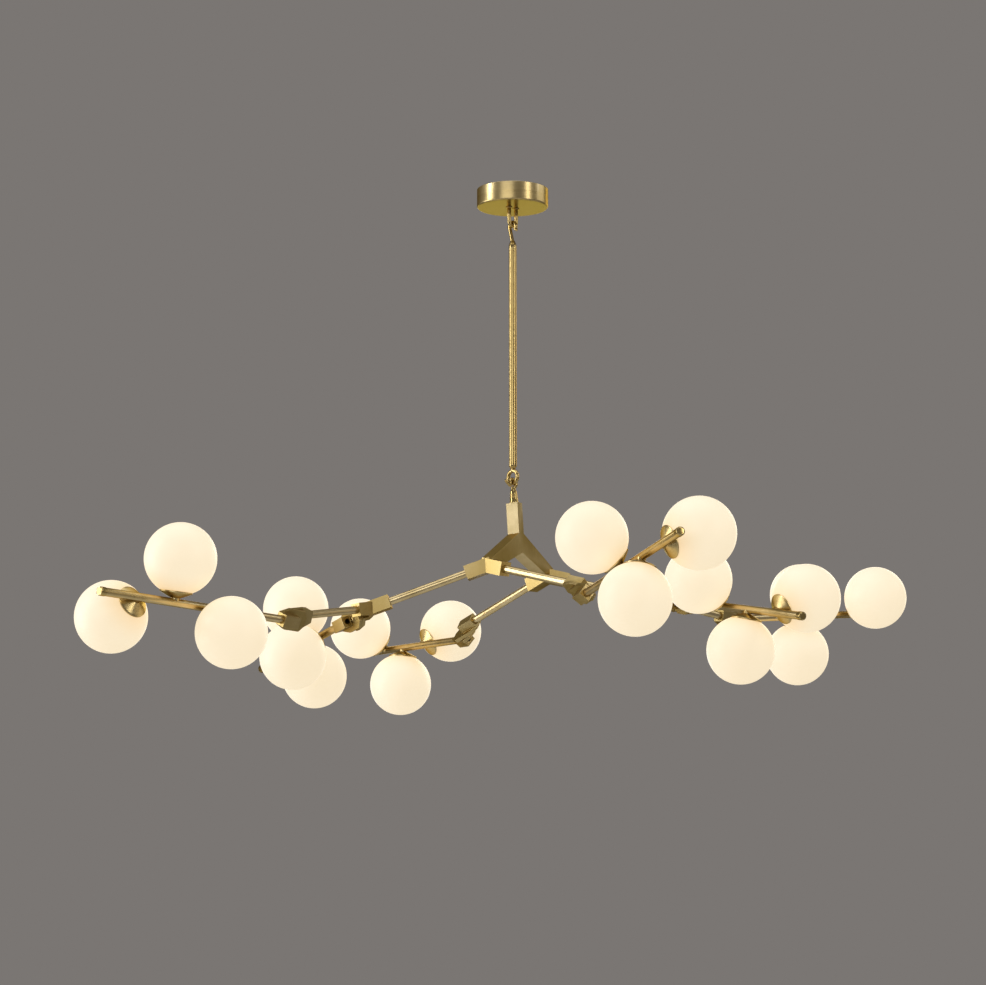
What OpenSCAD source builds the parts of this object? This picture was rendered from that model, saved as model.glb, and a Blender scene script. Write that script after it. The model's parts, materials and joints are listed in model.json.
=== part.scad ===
// Branching pendant chandelier: a canopy, a hooked drop rod, a forked hub, four arms
// and six pivoting branch tubes with three glass globes each.
// Origin: centre of the ceiling face. +Z up, +X to the viewer's right, +Y away from the viewer.

/* [Canopy] */
// Outer diameter of the canopy
canopy_d = 131; // [110:1:160]
// Height of the canopy
canopy_h = 34; // [28:1:50]
// Wall of the canopy
canopy_wall = 1.5; // [1:0.1:2.5]
// Rounding of the canopy's lower edge
canopy_edge_r = 3; // [2:0.5:5]
// Distance between the two ceiling screws
bracket_pitch = 80; // [70:1:86]
// Diameter of the ceiling screw holes
bracket_hole_d = 5.5; // [4:0.5:6.5]
// Width of the ceiling bracket
bracket_w = 24; // [22:1:30]
// Thickness of the ceiling bracket
bracket_t = 2.5; // [2:0.5:4]

/* [Suspension] */
// Diameter of the hook wire
wire_d = 7; // [5:0.25:7]
// Gap between the wires that hang in each other
hook_gap = 0.3; // [0.25:0.05:0.6]
// Height from the ceiling down to the centre of the ceiling loop's lowest wire
upper_pivot_drop = 68.5; // [64:0.5:80]
// Mean radius of the ceiling loop's bend
ceiling_loop_r = 9; // [8:0.25:10]
// Mean radius of the rod's hook
rod_hook_r = 8; // [7.5:0.25:9]
// Length from the upper pivot down to the drop rod's top end
rod_top_drop = 43; // [36:0.5:46]
// Length of the drop rod
rod_len = 400; // [150:1:900]
// Diameter of the drop rod
rod_d = 14; // [12:0.5:16]
// Height of the ferrule on the drop rod's upper end
ferrule_h = 15; // [12:0.5:18]
// Length from the drop rod's lower end down to the lower pivot
lower_pivot_drop = 35; // [33:0.5:42]
// Height of the ferrule on the drop rod's lower end
eye_ferrule_h = 9; // [6:0.5:12]
// Mean radius of the rod's closed eye
rod_eye_r = 11.5; // [9:0.25:12.5]
// Mean radius of the hub's hook
hub_hook_r = 7.5; // [7.5:0.25:8.5]
// Length of the hub hook's open tail
hook_tail_len = 16; // [8:0.5:18]
// Turn of the upper hook's swing axis about the vertical
upper_axis_turn = 45; // [0:5:90]
// Lean of the hanging frame about X, as it hangs
lean_x = -1.7; // [-3:0.1:3]
// Lean of the hanging frame about Y, as it hangs
lean_y = -3.2; // [-4:0.1:4]

/* [Hub] */
// Width of the hub across its fork
hub_bar_w = 24; // [22:0.5:28]
// Width of the hub's stem along its fork
hub_stem_w = 16; // [14:0.5:24]
// Length from the lower pivot down to the top of the hub's stem
stem_top_drop = 37; // [35:0.5:46]
// Length from the lower pivot down to the bend from the stem to the legs
bend_drop = 93.5; // [88:0.5:98]
// Length from the lower pivot down to the crotch between the legs
crotch_drop = 129; // [122:1:134]
// Reach of each foot of the hub from the centre, left or right
foot_x = 53; // [48:1:60]
// Reach of each foot of the hub from the centre, front or back
foot_y = 84; // [78:1:90]
// Height of the legs at their feet
foot_h = 24; // [20:0.5:28]
// Length from the lower pivot down to the feet
foot_drop = 160.5; // [155:0.5:170]
// Reach of the socket blocks from the foot's centre
foot_block_len = 42; // [38:1:50]
// Width of the socket blocks
foot_block_w = 25; // [22:0.5:26]

/* [Arms] */
// Outer diameter of the arms and the link rods
arm_d = 14; // [12:0.5:15]
// Wall of the arms and the link rods
arm_wall = 2; // [1.5:0.1:3]
// Radial clearance of a rod in its socket
socket_fit = 0.05; // [0.02:0.01:0.1]
// Depth of the sockets
socket_depth = 24; // [18:1:25]
// Length of the side arms, from foot to junction
side_arm_len = 222; // [180:1:300]
// Azimuth of the left side arm
side_arm_azimuth = 174.6; // [165:0.1:180]
// Rise of the side arms
side_arm_rise = -16.3; // [-20:0.1:-12]
// Length of the long links, from junction to pivot
link_len = 188; // [140:1:240]
// Azimuth of the left long link
link_azimuth = 223.2; // [215:0.1:230]
// Rise of the long links
link_rise = -7.3; // [-12:0.1:-2]
// Length of the short links, from junction to pivot
stub_len = 40; // [39:0.5:60]
// Azimuth of the left short link
stub_azimuth = 120.5; // [110:0.5:130]
// Rise of the short links
stub_rise = -14.8; // [-18:0.1:-10]
// Length of the centre arms, from foot to pivot
centre_arm_len = 236.5; // [190:0.5:300]
// Azimuth of the front centre arm
centre_arm_azimuth = -43.3; // [-50:0.1:-38]
// Rise of the centre arms
centre_arm_rise = -17.2; // [-20:0.1:-14]
// Reach of the junction block along the side arm
junction_in_len = 36; // [34:1:42]
// Reach of the junction block along the long link
junction_out_len = 36; // [34:1:42]
// Width of the junction block
junction_w = 24; // [22:0.5:26]

/* [Knuckles] */
// Distance between a knuckle's pivot face and its rod's axis
knuckle_offset = 13; // [12:0.5:16]
// Reach of a knuckle half from the pivot to its socket's mouth
knuckle_reach = 41; // [38:1:44]
// Reach of the short link's knuckle half
short_reach = 22; // [21:0.5:24]
// Reach of a knuckle half past its pivot
knuckle_back = 22; // [18:1:24]
// Width of a knuckle half's leaf
leaf_w = 38; // [32:1:40]
// Thickness of a knuckle half's leaf
leaf_t = 7; // [5:0.5:8]
// Width of a knuckle half's socket block
knuckle_block_w = 21; // [19:0.5:24]
// Gap between the two leaves
leaf_gap = 0.3; // [0.2:0.05:0.5]
// Diameter of the pivot screw
pivot_d = 6; // [5:0.5:7]
// Diameter of the pivot screw's heads
pivot_head_d = 9; // [8:0.5:11]
// Diameter of the wire hole between a knuckle's blocks
wire_hole_d = 10; // [7:0.5:11]
// Radial running clearance of the pivot screw
pivot_fit = 0.05; // [0.02:0.01:0.08]

/* [Branches] */
// Outer diameter of the branch tubes
tube_d = 14; // [12:0.5:15]
// Wall of the branch tubes
tube_wall = 1.5; // [1:0.1:2]
// Distance from the pivot to the first globe on a long branch
long_first = 208.5; // [190:0.5:260]
// Distance from the pivot to the first globe on a short branch
short_first = 107.5; // [104:0.5:140]
// Spacing of the globes along the tube
globe_pitch = 76; // [72:0.5:90]
// Turn from one globe to the next about the tube
globe_turn = 120; // [110:5:130]
// Length of the tube past its last globe
tube_overhang = 84; // [60:1:120]
// Front left branch: azimuth, rise and clocking of its tube
pose_a1 = [228.8, 3, 228.6]; // [-360:0.1:360]
// Back left branch: azimuth, rise and clocking of its tube
pose_a2 = [122.5, -7.5, 238]; // [-360:0.1:360]
// Front centre branch: azimuth, rise and clocking of its tube
pose_b = [289.7, 5.1, 44.9]; // [-360:0.1:360]
// Back centre branch, before its half turn: azimuth, rise and clocking
pose_c = [297.8, 3.9, 66.6]; // [-360:0.1:360]
// Front right branch, before its half turn: azimuth, rise and clocking
pose_d1 = [120.1, -12.3, 51]; // [-360:0.1:360]
// Back right branch, before its half turn: azimuth, rise and clocking
pose_d2 = [221.3, 4, 191.4]; // [-360:0.1:360]

/* [Globes] */
// Outer diameter of the globes
globe_d = 120; // [110:1:122]
// Wall of the globes
globe_wall = 2.5; // [2:0.1:3.5]
// Distance from the tube's axis to the globe's centre
globe_offset = 72.7; // [72:0.1:76]
// Diameter of the globe's mouth
globe_mouth_d = 42; // [40:1:44]
// Diameter of the cup's rim
cup_rim_d = 55; // [52:1:58]
// Gap between the glass and its cup
cup_gap = 0.3; // [0.2:0.05:0.4]
// Diameter of the cup's neck on the tube
cup_neck_d = 15; // [14.5:0.5:18]
// Gap between the cup and the tube
cup_seat = 0.15; // [0.1:0.05:0.3]
// Diameter of the threaded nipple
nipple_d = 8; // [7:0.5:8.5]
// Radial clearance of the nipple in its holes
nipple_gap = 0.2; // [0.1:0.05:0.3]
// Diameter of the lampholder
holder_d = 18; // [16:0.5:20]
// Height of the lampholder
holder_h = 20; // [16:0.5:24]
// Diameter of the capsule bulb
bulb_d = 14; // [12:0.5:16]
// Length of the capsule bulb above its holder
bulb_len = 38; // [30:1:44]

/* [Hidden] */
$fn = 96;
eps = 0.01;
wire_r = wire_d / 2;
hang_step = wire_d + hook_gap;
upper_z = -upper_pivot_drop;
rod_top_z = upper_z - rod_top_drop;
rod_end_z = rod_top_z - rod_len;
lower_z = rod_end_z - lower_pivot_drop;
lower_axis_turn = upper_axis_turn - 90;
nut_h = 4;
head_seat = 5;
head_h = 3;
socket_lip = 1;
block_start = pivot_head_d / 2 + 1.5;
terminal_size = [18, 20, 12];
terminal_x = 24.5;
wire_bead_d = wire_d + 0.4;
hub_stem_z = lower_z - stem_top_drop;
foot = [-foot_x, -foot_y, lower_z - foot_drop];

// Unit vector of an azimuth and a rise
function heading(azimuth, rise) = [cos(rise) * cos(azimuth), cos(rise) * sin(azimuth), sin(rise)];
function unit(v) = v / norm(v);

side_arm_dir = heading(side_arm_azimuth, side_arm_rise);
link_dir = heading(link_azimuth, link_rise);
stub_dir = heading(stub_azimuth, stub_rise);
centre_arm_dir = heading(centre_arm_azimuth, centre_arm_rise);
junction = foot + side_arm_len * side_arm_dir;

// One branch: start of its rod, rod direction, rod length, pose, distance to the first globe,
// side on which the rod lies, reach of its fixed knuckle half, and its half turn
branch_a1 = [junction, link_dir, link_len, pose_a1, long_first, 1, knuckle_reach, 0];
branch_d2 = [junction, link_dir, link_len, pose_d2, long_first, 1, knuckle_reach, 180];
branch_a2 = [junction, stub_dir, stub_len, pose_a2, short_first, 1, short_reach, 0];
branch_d1 = [junction, stub_dir, stub_len, pose_d1, short_first, 1, short_reach, 180];
branch_b = [foot, centre_arm_dir, centre_arm_len, pose_b, long_first, -1, knuckle_reach, 0];
branch_c = [foot, centre_arm_dir, centre_arm_len, pose_c, long_first, -1, knuckle_reach, 180];
branches = [branch_a1, branch_a2, branch_b, branch_c, branch_d1, branch_d2];

function rod_dir(b) = b[1];
function tube_dir(b) = heading(b[3][0], b[3][1]);
function pivot_axis(b) = b[5] * unit(cross(rod_dir(b), tube_dir(b)));
function pivot_at(b) = b[0] + b[2] * rod_dir(b) - knuckle_offset * pivot_axis(b);
function tube_at(b) = pivot_at(b) - knuckle_offset * pivot_axis(b);
function tube_side(b) = unit(cross(tube_dir(b), [0, 0, 1]));
function tube_total(b) = b[4] + 2 * globe_pitch + tube_overhang;

// The hanging frame leans a little about the lower hook
module hanging()
    translate([0, 0, lower_z])
        rotate([lean_x, lean_y, 0])
            translate([0, 0, -lower_z])
                children();

// Places children with their axes along x, y and z at point o
module axes_at(o, x, y, z)
    multmatrix([
        [x[0], y[0], z[0], o[0]],
        [x[1], y[1], z[1], o[1]],
        [x[2], y[2], z[2], o[2]],
        [0, 0, 0, 1]])
        children();

// Places children with +Z along direction d at point o
module along(o, d) {
    side = unit(cross(d, [0, 0, 1]));
    axes_at(o, cross(side, d), side, d)
        children();
}

// The fixed half of a branch's knuckle: +X back along the rod, +Z to its outer side
module at_fixed_half(b)
    hanging()
        rotate([0, 0, b[7]])
            axes_at(pivot_at(b), -rod_dir(b), cross(pivot_axis(b), -rod_dir(b)), pivot_axis(b))
                children();

// The moving half of a branch's knuckle: +X out along the tube, +Z to its outer side
module at_moving_half(b)
    hanging()
        rotate([0, 0, b[7]])
            axes_at(pivot_at(b), tube_dir(b), cross(-pivot_axis(b), tube_dir(b)), -pivot_axis(b))
                children();

// A branch tube: +Z out along the tube from the foot of the pivot
module at_tube(b)
    hanging()
        rotate([0, 0, b[7]])
            axes_at(tube_at(b), cross(tube_side(b), tube_dir(b)), tube_side(b), tube_dir(b))
                children();

// The place of globe i on a branch: +Z out from the tube's axis
module at_globe(b, i)
    at_tube(b)
        rotate([0, 0, b[3][2] + i * globe_turn])
            translate([0, 0, b[4] + i * globe_pitch])
                rotate([0, 90, 0])
                    children();

// A bent wire in the XZ plane, from one angle to another about the origin
module wire_arc(r, from, to)
    rotate([90, 0, 0])
        rotate([0, 0, from])
            rotate_extrude(angle = to - from)
                translate([r, 0])
                    circle(d = wire_d, $fn = 48);

// A straight wire between two points of the XZ plane
module wire_run(p, q)
    along([p[0], 0, p[1]], unit([q[0] - p[0], 0, q[1] - p[1]]))
        cylinder(d = wire_d, h = norm(q - p), $fn = 48);

// A forged bead where two wires meet
module wire_bead(p)
    translate([p[0], 0, p[1]])
        sphere(d = wire_bead_d, $fn = 48);

function on_arc(r, angle) = [r * cos(angle), r * sin(angle)];

// ---- ceiling ----

module canopy()
    color("goldenrod")
        difference() {
            rotate_extrude()
                difference() {
                    canopy_section(canopy_d / 2, canopy_h, canopy_edge_r);
                    translate([0, eps])
                        canopy_section(canopy_d / 2 - canopy_wall, canopy_h - canopy_wall + eps,
                            canopy_edge_r - canopy_wall);
                }
            at_loop_legs()
                translate([0, 0, -canopy_h - 1])
                    cylinder(d = wire_d + 2 * nipple_gap, h = canopy_wall + 2);
        }

// Half section of the canopy's outside or inside, below the ceiling
module canopy_section(r, h, edge) {
    translate([0, -h + edge])
        square([r, h - edge]);
    translate([0, -h])
        square([r - edge, h]);
    translate([r - edge, -h + edge])
        circle(r = edge, $fn = 48);
}

module at_loop_legs()
    rotate([0, 0, upper_axis_turn])
        for (side = [-1, 1])
            translate([side * ceiling_loop_r, 0, 0])
                children();

module ceiling_bracket()
    color("silver")
        difference() {
            translate([-canopy_d / 2 + canopy_wall + 4, -bracket_w / 2, -bracket_t])
                cube([canopy_d - 2 * canopy_wall - 8, bracket_w, bracket_t]);
            for (side = [-1, 1])
                translate([side * bracket_pitch / 2, 0, -bracket_t - 1])
                    cylinder(d = bracket_hole_d, h = bracket_t + 2);
            at_loop_legs()
                translate([0, 0, -bracket_t - 1])
                    cylinder(d = wire_d + 2 * nipple_gap, h = bracket_t + 2);
        }

// A bent wire whose threaded legs carry a nut under the bracket and one in the canopy
module canopy_loop()
    color("goldenrod")
        rotate([0, 0, upper_axis_turn]) {
            translate([0, 0, upper_z + ceiling_loop_r])
                wire_arc(ceiling_loop_r, 180, 360);
            for (side = [-1, 1])
                translate([side * ceiling_loop_r, 0, 0]) {
                    translate([0, 0, upper_z + ceiling_loop_r])
                        cylinder(d = wire_d, h = -upper_z - ceiling_loop_r, $fn = 48);
                    translate([0, 0, -bracket_t - hook_gap / 3 - nut_h])
                        cylinder(d = wire_d + 5, h = nut_h, $fn = 6);
                    translate([0, 0, -canopy_h - hook_gap / 3 - 1.5])
                        cylinder(d = wire_d + 5, h = 1.5);
                }
        }

module terminal_block()
    color("white")
        difference() {
            translate([terminal_x - terminal_size[0] / 2, -terminal_size[1] / 2, -bracket_t - terminal_size[2]])
                cube(terminal_size);
            for (i = [-1, 0, 1])
                translate([terminal_x - terminal_size[0] / 2 - 1, i * 6, -bracket_t - terminal_size[2] / 2])
                    rotate([0, 90, 0])
                        cylinder(d = 4, h = terminal_size[0] + 2);
        }

// ---- drop rod ----

module drop_rod()
    color("goldenrod")
        translate([0, 0, rod_end_z])
            cylinder(d = rod_d, h = rod_len);

// The ferrule that carries a hook on the drop rod's end, growing up from z
module ferrule(z, h)
    translate([0, 0, z])
        rotate_extrude()
            polygon([[0, 0], [rod_d / 2, 0], [rod_d / 2, h / 2], [wire_r + 0.5, h], [0, h]]);

module rod_hook()
    color("goldenrod")
        rotate([0, 0, lower_axis_turn]) {
            ferrule(rod_top_z, ferrule_h);
            translate([0, 0, upper_z + hang_step - rod_hook_r]) {
                wire_arc(rod_hook_r, -35, 215);
                wire_bead(on_arc(rod_hook_r, 215));
                wire_run(on_arc(rod_hook_r, 215),
                    [0, rod_top_z + ferrule_h - 3 - upper_z - hang_step + rod_hook_r]);
                wire_bead(on_arc(rod_hook_r, -35));
                wire_run(on_arc(rod_hook_r, -35), [rod_hook_r + 3, -rod_hook_r - 1]);
            }
        }

module rod_eye()
    color("goldenrod")
        rotate([0, 0, lower_axis_turn]) {
            translate([0, 0, rod_end_z])
                mirror([0, 0, 1])
                    ferrule(0, eye_ferrule_h);
            translate([0, 0, lower_z + rod_eye_r])
                rotate([90, 0, 0])
                    rotate_extrude()
                        translate([rod_eye_r, 0])
                            circle(d = wire_d, $fn = 48);
            translate([0, 0, lower_z + 2 * rod_eye_r])
                cylinder(d = wire_d, h = rod_end_z - lower_z - 2 * rod_eye_r - 2, $fn = 48);
        }

// ---- hub ----

module hub_hook()
    color("goldenrod")
        hanging()
            rotate([0, 0, upper_axis_turn]) {
                translate([0, 0, lower_z + hang_step - hub_hook_r]) {
                    wire_arc(hub_hook_r, -75, 215);
                    wire_bead(on_arc(hub_hook_r, -75));
                    wire_bead(on_arc(hub_hook_r, 215));
                    wire_run(on_arc(hub_hook_r, 215), on_arc(hub_hook_r, 215) + [-0.8, 0.6] * hook_tail_len);
                }
                hub_hook_stem();
            }

// The stem between the hook and the hub, a round wire that swells to a turned foot
module hub_hook_stem() {
    stem_h = lower_z + hang_step - 2 * hub_hook_r - hub_stem_z;
    translate([0, 0, hub_stem_z])
        rotate_extrude()
            polygon([[0, 0], [hub_stem_w / 2, 0], [hub_stem_w / 2, 3], [wire_r + 2.5, stem_h - 7],
                [wire_r + 0.5, stem_h - 2], [wire_r, stem_h + 1], [0, stem_h + 1]]);
}

// A square bar from p to q, grown past each end
module bar(p, q, w, grow_p = 0, grow_q = 0)
    along(p - grow_p * unit(q - p), unit(q - p))
        translate([-w / 2, -w / 2, 0])
            cube([w, w, norm(q - p) + grow_p + grow_q]);

module socket_bore(corner, dir, reach)
    along(corner + (reach - socket_depth) * dir, dir)
        cylinder(d = arm_d + 2 * socket_fit, h = socket_depth + 1);

// Side view of the stem and its two legs, in the plane of the legs
module fork_outline() {
    end = norm([foot_x, foot_y]) + foot_h / 4;
    right = [
        [hub_stem_w / 2, hub_stem_z], [hub_stem_w / 2, lower_z - bend_drop],
        [end, foot[2] + foot_h / 2], [end, foot[2] - foot_h / 2]];
    polygon(concat(right, [[0, lower_z - crotch_drop]],
        [for (i = [3:-1:0]) [-right[i][0], right[i][1]]]));
}

module hub()
    color("goldenrod")
        hanging()
            difference() {
                union() {
                    rotate([0, 0, atan2(foot_y, foot_x)])
                        translate([0, hub_bar_w / 2, 0])
                            rotate([90, 0, 0])
                                linear_extrude(hub_bar_w)
                                    fork_outline();
                    for (turn = [0, 180])
                        rotate([0, 0, turn]) {
                            bar(foot, foot + foot_block_len * side_arm_dir, foot_block_w, foot_block_w / 4);
                            bar(foot, foot + foot_block_len * centre_arm_dir, foot_block_w, foot_block_w / 4);
                        }
                }
                for (turn = [0, 180])
                    rotate([0, 0, turn]) {
                        socket_bore(foot, side_arm_dir, foot_block_len);
                        socket_bore(foot, centre_arm_dir, foot_block_len);
                    }
            }

// A hollow rod between two sockets: its ends stand on the sockets' floors
module hollow_rod(from, dir, start, end)
    along(from + start * dir, dir)
        difference() {
            cylinder(d = arm_d, h = end - start);
            translate([0, 0, -1])
                cylinder(d = arm_d - 2 * arm_wall, h = end - start + 2);
        }

module side_arm(turn)
    color("goldenrod")
        hanging()
            rotate([0, 0, turn])
                hollow_rod(foot, side_arm_dir, foot_block_len - socket_depth,
                    side_arm_len - junction_in_len + socket_depth);

module centre_arm(turn)
    color("goldenrod")
        hanging()
            rotate([0, 0, turn])
                hollow_rod(foot, centre_arm_dir, foot_block_len - socket_depth,
                    centre_arm_len - knuckle_reach + socket_depth);

module link_rods()
    color("goldenrod")
        hanging()
            for (turn = [0, 180])
                rotate([0, 0, turn])
                    hollow_rod(junction, link_dir, junction_out_len - socket_depth,
                        link_len - knuckle_reach + socket_depth);

// The corner block: one socket for the arm, one for the link, and a stub for the short link
module junction_block(turn)
    color("goldenrod")
        hanging()
            rotate([0, 0, turn]) {
                difference() {
                    union() {
                        bar(junction, junction - junction_in_len * side_arm_dir, junction_w, junction_w / 3);
                        bar(junction, junction + junction_out_len * link_dir, junction_w - 1, junction_w / 4);
                    }
                    socket_bore(junction, -side_arm_dir, junction_in_len);
                    socket_bore(junction, link_dir, junction_out_len);
                }
                along(junction, stub_dir)
                    cylinder(d = arm_d, h = stub_len - short_reach + stub_socket_depth());
            }

function stub_socket_depth() = short_reach / 2;

// ---- knuckles ----

// Outline of a knuckle half's leaf, from its rounded nose to its socket end
module leaf_outline(reach)
    polygon([
        [-knuckle_back, -leaf_w * 0.22], [-knuckle_back * 0.6, -leaf_w / 2], [reach * 0.5, -leaf_w / 2],
        [reach, -knuckle_block_w / 2], [reach, knuckle_block_w / 2],
        [reach * 0.5, leaf_w / 2], [-knuckle_back * 0.6, leaf_w / 2], [-knuckle_back, leaf_w * 0.22]]);

// One half: a leaf on the pivot face and a socket block that is drilled through for the wires
module knuckle_half(reach, rod, depth, lip = socket_lip) {
    top = knuckle_offset + knuckle_block_w / 2;
    difference() {
        union() {
            translate([0, 0, leaf_gap / 2])
                linear_extrude(leaf_t - leaf_gap / 2)
                    leaf_outline(reach);
            translate([block_start, -knuckle_block_w / 2, leaf_gap / 2 + 1])
                cube([reach + lip - block_start, knuckle_block_w, top - leaf_gap / 2 - 1]);
        }
        translate([reach - depth, 0, knuckle_offset])
            rotate([0, 90, 0])
                cylinder(d = rod + 2 * socket_fit, h = depth + 2 * socket_lip);
        translate([block_start - 1, 0, knuckle_offset])
            rotate([0, 90, 0])
                cylinder(d = wire_hole_d, h = reach);
        translate([0, 0, -1])
            cylinder(d = pivot_d + 2 * pivot_fit, h = leaf_t + 2);
        translate([0, 0, head_seat])
            cylinder(d = pivot_head_d + 0.4, h = top);
    }
}

module knuckle_sockets()
    color("darkgoldenrod")
        for (b = branches)
            at_fixed_half(b)
                if (b[6] == short_reach)
                    knuckle_half(short_reach, arm_d, stub_socket_depth(), 0);
                else
                    knuckle_half(knuckle_reach, arm_d, socket_depth);

module pivot_screws()
    color("goldenrod")
        for (b = branches)
            at_fixed_half(b) {
                translate([0, 0, -head_seat - 0.1])
                    cylinder(d = pivot_d, h = 2 * head_seat + 0.2);
                for (side = [0, 1])
                    mirror([0, 0, side])
                        translate([0, 0, head_seat + 0.1])
                            cylinder(d = pivot_head_d, h = head_h);
            }

module knuckle(b)
    color("darkgoldenrod")
        at_moving_half(b)
            knuckle_half(knuckle_reach, tube_d, socket_depth);

// ---- branches ----

module tube(b)
    color("goldenrod") {
        start = knuckle_reach - socket_depth;
        difference() {
            at_tube(b)
                difference() {
                    translate([0, 0, start])
                        cylinder(d = tube_d, h = tube_total(b) - start);
                    translate([0, 0, start - 1])
                        cylinder(d = tube_d - 2 * tube_wall, h = tube_total(b) - start - 2);
                }
            for (i = [0:2])
                at_globe(b, i)
                    cylinder(d = nipple_d + 2 * nipple_gap, h = tube_d);
        }
    }

cup_floor = tube_d / 2 + cup_seat + 3;
cup_bottom = tube_d / 2 + cup_seat;
seat_r = globe_d / 2 + cup_gap;
cup_lip = 0.7;
cup_inner_r = 19.5;
seat_from = asin(cup_inner_r / seat_r);
seat_to = asin((cup_rim_d / 2 - cup_lip) / seat_r);
function seat_point(angle) = [seat_r * sin(angle), globe_offset - seat_r * cos(angle)];

// A spun cup that carries the globe, with a saddle neck on the tube
module cup()
    difference() {
        union() {
            rotate_extrude()
                polygon(concat(
                    [[0, cup_floor], [0, cup_bottom], [cup_neck_d / 2 + 1, cup_bottom],
                        [cup_rim_d / 2, seat_point(seat_to)[1] - 2], [cup_rim_d / 2, seat_point(seat_to)[1]]],
                    [for (k = [4:-1:0]) seat_point(seat_from + (seat_to - seat_from) * k / 4)],
                    [[holder_d / 2 + 2, cup_floor]]));
            translate([0, 0, 1])
                cylinder(d = cup_neck_d, h = cup_bottom);
        }
        rotate([0, 90, 0])
            cylinder(d = tube_d + 2 * cup_seat, h = 2 * cup_neck_d, center = true);
        cylinder(d = nipple_d + 2 * nipple_gap, h = globe_offset);
    }

module cups(b)
    color("darkgoldenrod")
        for (i = [0:2])
            at_globe(b, i)
                cup();

// A lampholder on its threaded nipple, with a capsule bulb
module lamp() {
    translate([0, 0, tube_d / 2 - tube_wall - 1])
        cylinder(d = nipple_d, h = cup_floor + 1, $fn = 48);
    translate([0, 0, cup_floor + 0.05])
        cylinder(d = holder_d, h = holder_h);
    translate([0, 0, cup_floor + holder_h])
        cylinder(d = bulb_d, h = bulb_len - bulb_d / 2);
    translate([0, 0, cup_floor + holder_h + bulb_len - bulb_d / 2])
        sphere(d = bulb_d);
}

module lamps(b)
    color("white")
        for (i = [0:2])
            at_globe(b, i)
                lamp();

module globe(b, i)
    color("ivory")
        at_globe(b, i)
            translate([0, 0, globe_offset])
                difference() {
                    sphere(d = globe_d);
                    sphere(d = globe_d - 2 * globe_wall);
                    translate([0, 0, -globe_d])
                        cylinder(d = globe_mouth_d, h = globe_d);
                }

canopy();
ceiling_bracket();
canopy_loop();
terminal_block();
drop_rod();
rod_hook();
rod_eye();
hub_hook();
hub();
side_arm(0);  // arm_a
centre_arm(0);  // arm_b
centre_arm(180);  // arm_c
side_arm(180);  // arm_d
junction_block(0);  // junction_a
junction_block(180);  // junction_d
link_rods();
knuckle_sockets();
pivot_screws();
tube(branch_a1);  // tube_a1
knuckle(branch_a1);  // knuckle_a1
cups(branch_a1);  // cups_a1
lamps(branch_a1);  // lamps_a1
globe(branch_a1, 0);  // globe_a1_1
globe(branch_a1, 1);  // globe_a1_2
globe(branch_a1, 2);  // globe_a1_3
tube(branch_a2);  // tube_a2
knuckle(branch_a2);  // knuckle_a2
cups(branch_a2);  // cups_a2
lamps(branch_a2);  // lamps_a2
globe(branch_a2, 0);  // globe_a2_1
globe(branch_a2, 1);  // globe_a2_2
globe(branch_a2, 2);  // globe_a2_3
tube(branch_b);  // tube_b
knuckle(branch_b);  // knuckle_b
cups(branch_b);  // cups_b
lamps(branch_b);  // lamps_b
globe(branch_b, 0);  // globe_b_1
globe(branch_b, 1);  // globe_b_2
globe(branch_b, 2);  // globe_b_3
tube(branch_c);  // tube_c
knuckle(branch_c);  // knuckle_c
cups(branch_c);  // cups_c
lamps(branch_c);  // lamps_c
globe(branch_c, 0);  // globe_c_1
globe(branch_c, 1);  // globe_c_2
globe(branch_c, 2);  // globe_c_3
tube(branch_d1);  // tube_d1
knuckle(branch_d1);  // knuckle_d1
cups(branch_d1);  // cups_d1
lamps(branch_d1);  // lamps_d1
globe(branch_d1, 0);  // globe_d1_1
globe(branch_d1, 1);  // globe_d1_2
globe(branch_d1, 2);  // globe_d1_3
tube(branch_d2);  // tube_d2
knuckle(branch_d2);  // knuckle_d2
cups(branch_d2);  // cups_d2
lamps(branch_d2);  // lamps_d2
globe(branch_d2, 0);  // globe_d2_1
globe(branch_d2, 1);  // globe_d2_2
globe(branch_d2, 2);  // globe_d2_3
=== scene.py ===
import json
import math

import bpy
from mathutils import Matrix, Vector


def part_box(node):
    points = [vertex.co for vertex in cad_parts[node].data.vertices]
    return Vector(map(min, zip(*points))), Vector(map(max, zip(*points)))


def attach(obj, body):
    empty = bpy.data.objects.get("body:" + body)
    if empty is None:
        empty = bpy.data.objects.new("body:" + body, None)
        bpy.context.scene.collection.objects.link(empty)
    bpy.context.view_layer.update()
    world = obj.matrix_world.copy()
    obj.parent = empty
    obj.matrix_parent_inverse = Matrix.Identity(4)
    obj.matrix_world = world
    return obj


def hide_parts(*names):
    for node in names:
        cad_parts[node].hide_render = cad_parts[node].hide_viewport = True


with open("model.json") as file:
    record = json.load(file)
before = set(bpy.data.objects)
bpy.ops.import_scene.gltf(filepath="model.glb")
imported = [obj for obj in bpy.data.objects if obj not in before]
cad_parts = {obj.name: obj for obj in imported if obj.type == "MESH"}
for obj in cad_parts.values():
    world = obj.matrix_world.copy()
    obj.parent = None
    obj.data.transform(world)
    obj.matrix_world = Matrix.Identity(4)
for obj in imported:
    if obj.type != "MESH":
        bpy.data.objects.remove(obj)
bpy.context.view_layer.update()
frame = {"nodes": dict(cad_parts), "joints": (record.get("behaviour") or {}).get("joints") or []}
nodes = frame["nodes"]
branchNames = ["a1", "a2", "b", "c", "d1", "d2"]
print("frame loaded:", len(nodes), "nodes")


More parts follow.
